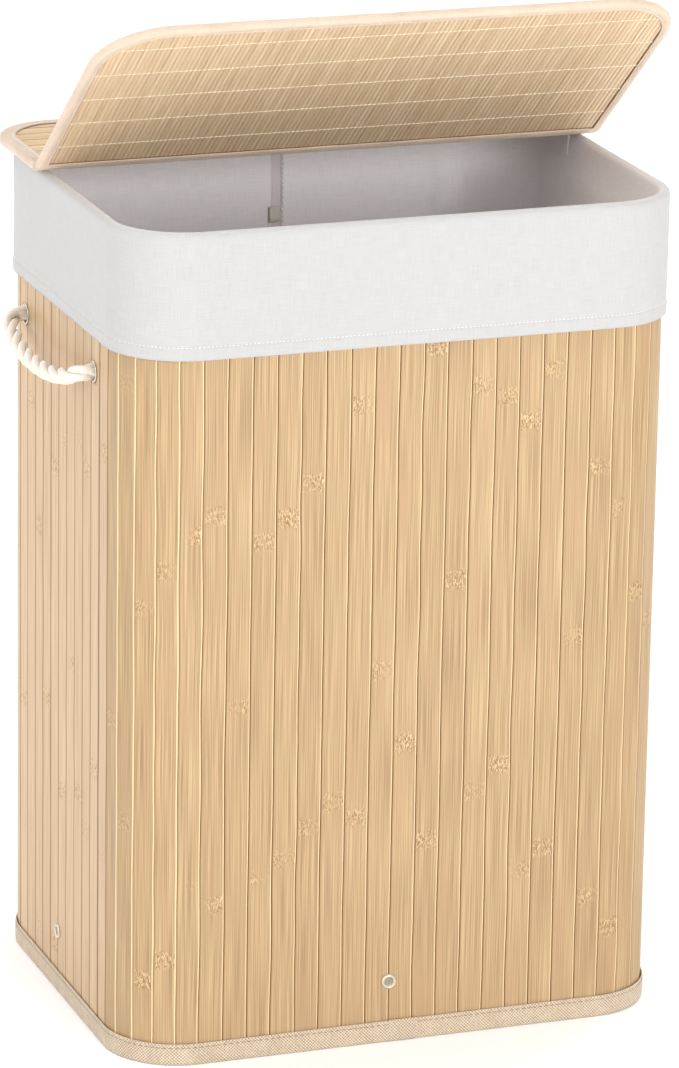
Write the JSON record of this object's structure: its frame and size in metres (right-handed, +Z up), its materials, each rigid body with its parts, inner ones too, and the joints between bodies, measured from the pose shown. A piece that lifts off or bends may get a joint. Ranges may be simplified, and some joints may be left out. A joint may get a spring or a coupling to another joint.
{
  "type": "laundry hamper",
  "caption": "Tall rounded-rectangle laundry hamper of upright bamboo slats, with a cloth liner turned over the rim, rope side handles and a lid that folds open.",
  "frame": {"origin": "on the floor under the middle of the body", "axes": "+X to the right seen from the front, the front faces -Y, +Z up"},
  "size_m": [0.454, 0.3236, 0.7346],
  "materials": {
    "bamboo": "satin, pale honey bamboo with visible grain and nodes",
    "reed": "matt fine reed mat with stitch lines",
    "cotton": "plain weave white cotton",
    "binding_tape": "woven beige binding tape",
    "cotton_rope": "twisted cream cotton rope",
    "nickel": "plated, satin",
    "steel": "plain steel",
    "fibreboard": "hard fibreboard"
  },
  "bodies": {
    "body": {"slat_wall_front": "bamboo", "slat_wall_right": "bamboo", "slat_wall_back_right": "bamboo", "slat_wall_back_left": "bamboo", "slat_wall_left": "bamboo", "slat_corner_front_right": "bamboo", "slat_corner_back_right": "bamboo", "slat_corner_back_left": "bamboo", "slat_corner_front_left": "bamboo", "wall_backing_cloth": "binding_tape", "bottom_binding": "binding_tape", "top_binding": "binding_tape", "back_seam_tape": "binding_tape", "liner_hook_strip_front": "cotton", "liner_hook_strip_back": "cotton", "base_board": "fibreboard", "base_bar_across": "steel", "base_bar_front_to_back": "steel", "base_centre_rivet": "nickel", "base_rivet_front": "nickel", "base_rivet_back": "nickel", "base_rivet_left": "nickel", "base_rivet_right": "nickel", "rivet_washer_front": "nickel", "rivet_washer_back": "nickel", "rivet_washer_left": "nickel", "rivet_washer_right": "nickel", "corner_rod_front_right": "steel", "corner_rod_back_right": "steel", "corner_rod_back_left": "steel", "corner_rod_front_left": "steel", "rod_sleeve_front_right": "binding_tape", "rod_sleeve_back_right": "binding_tape", "rod_sleeve_back_left": "binding_tape", "rod_sleeve_front_left": "binding_tape", "handle_eyelet_left_front": "nickel", "handle_eyelet_left_back": "nickel", "handle_eyelet_right_front": "nickel", "handle_eyelet_right_back": "nickel", "rope_knot_left_front": "cotton_rope", "rope_knot_left_back": "cotton_rope", "rope_knot_right_front": "cotton_rope", "rope_knot_right_back": "cotton_rope", "cotton_liner": "cotton", "back_hinge_leaf_body": "binding_tape"},
    "lid_rear": {"lid_rear_slats": "bamboo", "lid_rear_reed_mat": "reed", "lid_rear_binding": "binding_tape", "lid_rear_fold_tape": "binding_tape", "back_hinge_leaf_lid": "binding_tape"},
    "lid_flap": {"lid_flap_slats": "bamboo", "lid_flap_reed_mat": "reed", "lid_flap_binding": "binding_tape", "lid_flap_fold_tape": "binding_tape"},
    "rope_left": {"rope_handle_left": "cotton_rope"},
    "rope_right": {"rope_handle_right": "cotton_rope"}
  },
  "joints": [
    {"name": "lid_rear_hinge", "type": "hinge", "parent": "body", "child": "lid_rear", "pos_m": [0, 0.1592, 0.5998], "axis": [-1, 0, 0], "range_deg": [0, 90]},
    {"name": "lid_fold", "type": "hinge", "parent": "lid_rear", "child": "lid_flap", "pos_m": [0, 0.039, 0.6084], "axis": [-1, 0, 0], "range_deg": [-39, 130]},
    {"name": "rope_swing_left", "type": "hinge", "parent": "body", "child": "rope_left", "pos_m": [-0.202, 0.0094, 0.485], "axis": [0, 1, 0], "range_deg": [0, 100], "deforming": ["rope_handle_left"]},
    {"name": "rope_swing_right", "type": "hinge", "parent": "body", "child": "rope_right", "pos_m": [0.202, 0.0094, 0.485], "axis": [0, -1, 0], "range_deg": [0, 100], "deforming": ["rope_handle_right"]}
  ]
}
